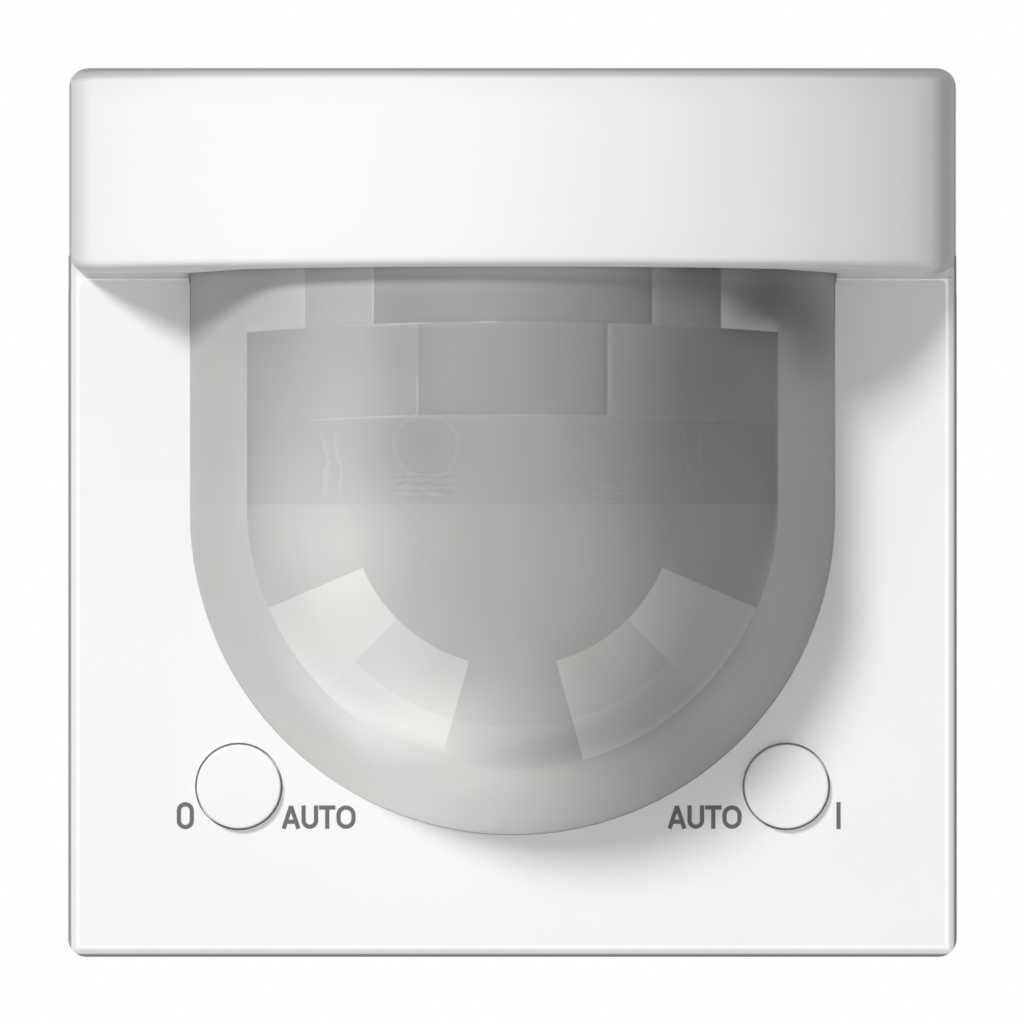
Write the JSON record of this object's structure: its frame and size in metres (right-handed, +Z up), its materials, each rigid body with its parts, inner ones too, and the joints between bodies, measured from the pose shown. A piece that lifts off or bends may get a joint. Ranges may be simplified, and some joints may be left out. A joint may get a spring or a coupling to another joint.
{
  "type": "motion sensor light switch",
  "caption": "Square wall switch front with a milky segmented dome lens under a curved hood, round off and on buttons, and a flush relay insert behind.",
  "frame": {"origin": "centre of the support ring on the wall plane, where its back face meets the wall", "axes": "+X to the right seen from the front, +Y into the wall, +Z up the wall; the front faces -Y"},
  "size_m": [0.07, 0.058, 0.07],
  "materials": {
    "ring_steel": "zinc-plated sheet steel",
    "housing_plastic": "dark grey moulded plastic",
    "lid_plastic": "grey moulded plastic",
    "screw_steel": "zinc-plated steel",
    "board_laminate": "green laminate",
    "black_plastic": "black moulded plastic",
    "capacitor_sleeve": "dark blue sleeve",
    "film_case": "yellow case",
    "varistor_coat": "blue coating",
    "terminal_plastic": "light grey moulded plastic",
    "clamp_brass": "brass",
    "base_plastic": "light grey moulded plastic",
    "white_plastic": "smooth white plastic",
    "lens_plastic": "milky translucent lens plastic",
    "can_metal": "nickel-plated can",
    "window_glass": "dark infrared window",
    "cell_resin": "clear yellowish resin",
    "lamp_resin": "red resin",
    "button_plastic": "smooth white plastic",
    "plunger_plastic": "dark plastic",
    "adjuster_plastic": "orange plastic"
  },
  "bodies": {
    "insert": {"support_ring": "ring_steel", "insert_housing": "housing_plastic", "insert_lid": "lid_plastic", "ring_screws": "screw_steel", "power_board": "board_laminate", "relay": "black_plastic", "power_capacitor": "capacitor_sleeve", "film_capacitor": "film_case", "varistor": "varistor_coat", "terminal_block": "terminal_plastic", "terminal_clamps": "clamp_brass", "terminal_screws": "screw_steel", "plug_socket": "black_plastic"},
    "sensor_head": {"base_shell": "base_plastic", "front_plate": "white_plastic", "hood": "white_plastic", "lens": "lens_plastic", "sensor_board": "board_laminate", "detector_holder": "black_plastic", "detector_cans": "can_metal", "detector_windows": "window_glass", "light_sensor": "cell_resin", "status_led": "lamp_resin", "controller_chip": "black_plastic", "off_switch_case": "black_plastic", "on_switch_case": "black_plastic", "adjuster_cases": "varistor_coat", "plug_header": "black_plastic", "plug_pins": "clamp_brass", "cover_screws": "screw_steel"},
    "off_button": {"off_button": "button_plastic", "off_plunger": "plunger_plastic"},
    "on_button": {"on_button": "button_plastic", "on_plunger": "plunger_plastic"},
    "brightness_adjuster": {"brightness_adjuster": "adjuster_plastic"},
    "time_adjuster": {"time_adjuster": "adjuster_plastic"},
    "range_adjuster": {"range_adjuster": "adjuster_plastic"}
  },
  "joints": [
    {"name": "head_plug", "type": "slide", "parent": "insert", "child": "sensor_head", "axis": [0, -1, 0], "range_m": [0, 0.03]},
    {"name": "off_press", "type": "slide", "parent": "sensor_head", "child": "off_button", "axis": [0, 1, 0], "range_m": [0, 0.0005], "stiffness_N_per_m": 2000},
    {"name": "on_press", "type": "slide", "parent": "sensor_head", "child": "on_button", "axis": [0, 1, 0], "range_m": [0, 0.0005], "stiffness_N_per_m": 2000},
    {"name": "brightness_turn", "type": "hinge", "parent": "sensor_head", "child": "brightness_adjuster", "pos_m": [-0.014, -0.0028, 0.026], "axis": [0, 1, 0], "range_deg": [-135, 135]},
    {"name": "time_turn", "type": "hinge", "parent": "sensor_head", "child": "time_adjuster", "pos_m": [0, -0.0028, 0.026], "axis": [0, 1, 0], "range_deg": [-135, 135]},
    {"name": "range_turn", "type": "hinge", "parent": "sensor_head", "child": "range_adjuster", "pos_m": [0.014, -0.0028, 0.026], "axis": [0, 1, 0], "range_deg": [-135, 135]}
  ]
}
